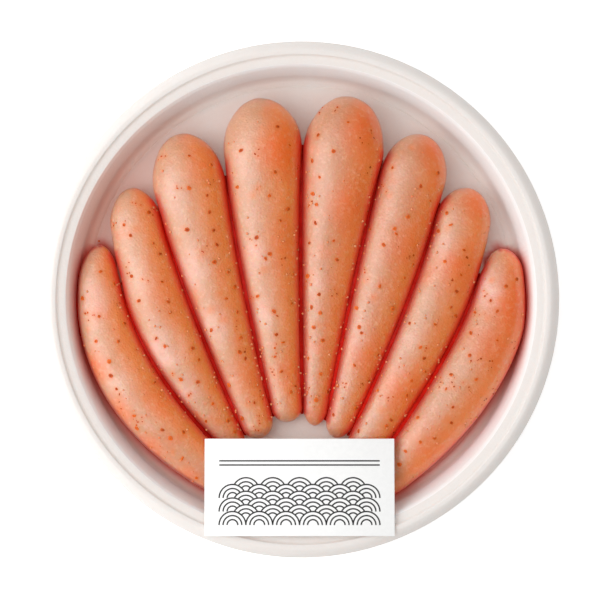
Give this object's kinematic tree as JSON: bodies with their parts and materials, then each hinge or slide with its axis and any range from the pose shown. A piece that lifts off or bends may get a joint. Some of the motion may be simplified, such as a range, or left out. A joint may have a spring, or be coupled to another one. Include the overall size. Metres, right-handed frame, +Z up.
{
  "type": "mentaiko in a round tray",
  "caption": "Marinated whole roe sacs fanned out on a shallow round white tray, flecked with chilli, with a white card that carries a band of wave fans leaning across their tail ends.",
  "frame": {"origin": "centre of the circle that the tray stands on, on the surface under it", "axes": "+Z up; +Y towards the broad head ends of the roe sacs, -Y towards the card; +X to the right as the picture shows it"},
  "size_m": [0.201, 0.201, 0.0245],
  "materials": {
    "tray": "matte white moulded plastic, faintly mottled",
    "roe": "moist salmon-orange roe membrane, finely grained, softly glossy",
    "card": "smooth uncoated white card"
  },
  "bodies": {
    "root": {"tray": "tray", "roe_sac_1": "roe", "roe_sac_2": "roe", "roe_sac_3": "roe", "roe_sac_4": "roe", "roe_sac_5": "roe", "roe_sac_6": "roe", "roe_sac_7": "roe", "roe_sac_8": "roe", "label_card": "card"}
  },
  "joints": []
}
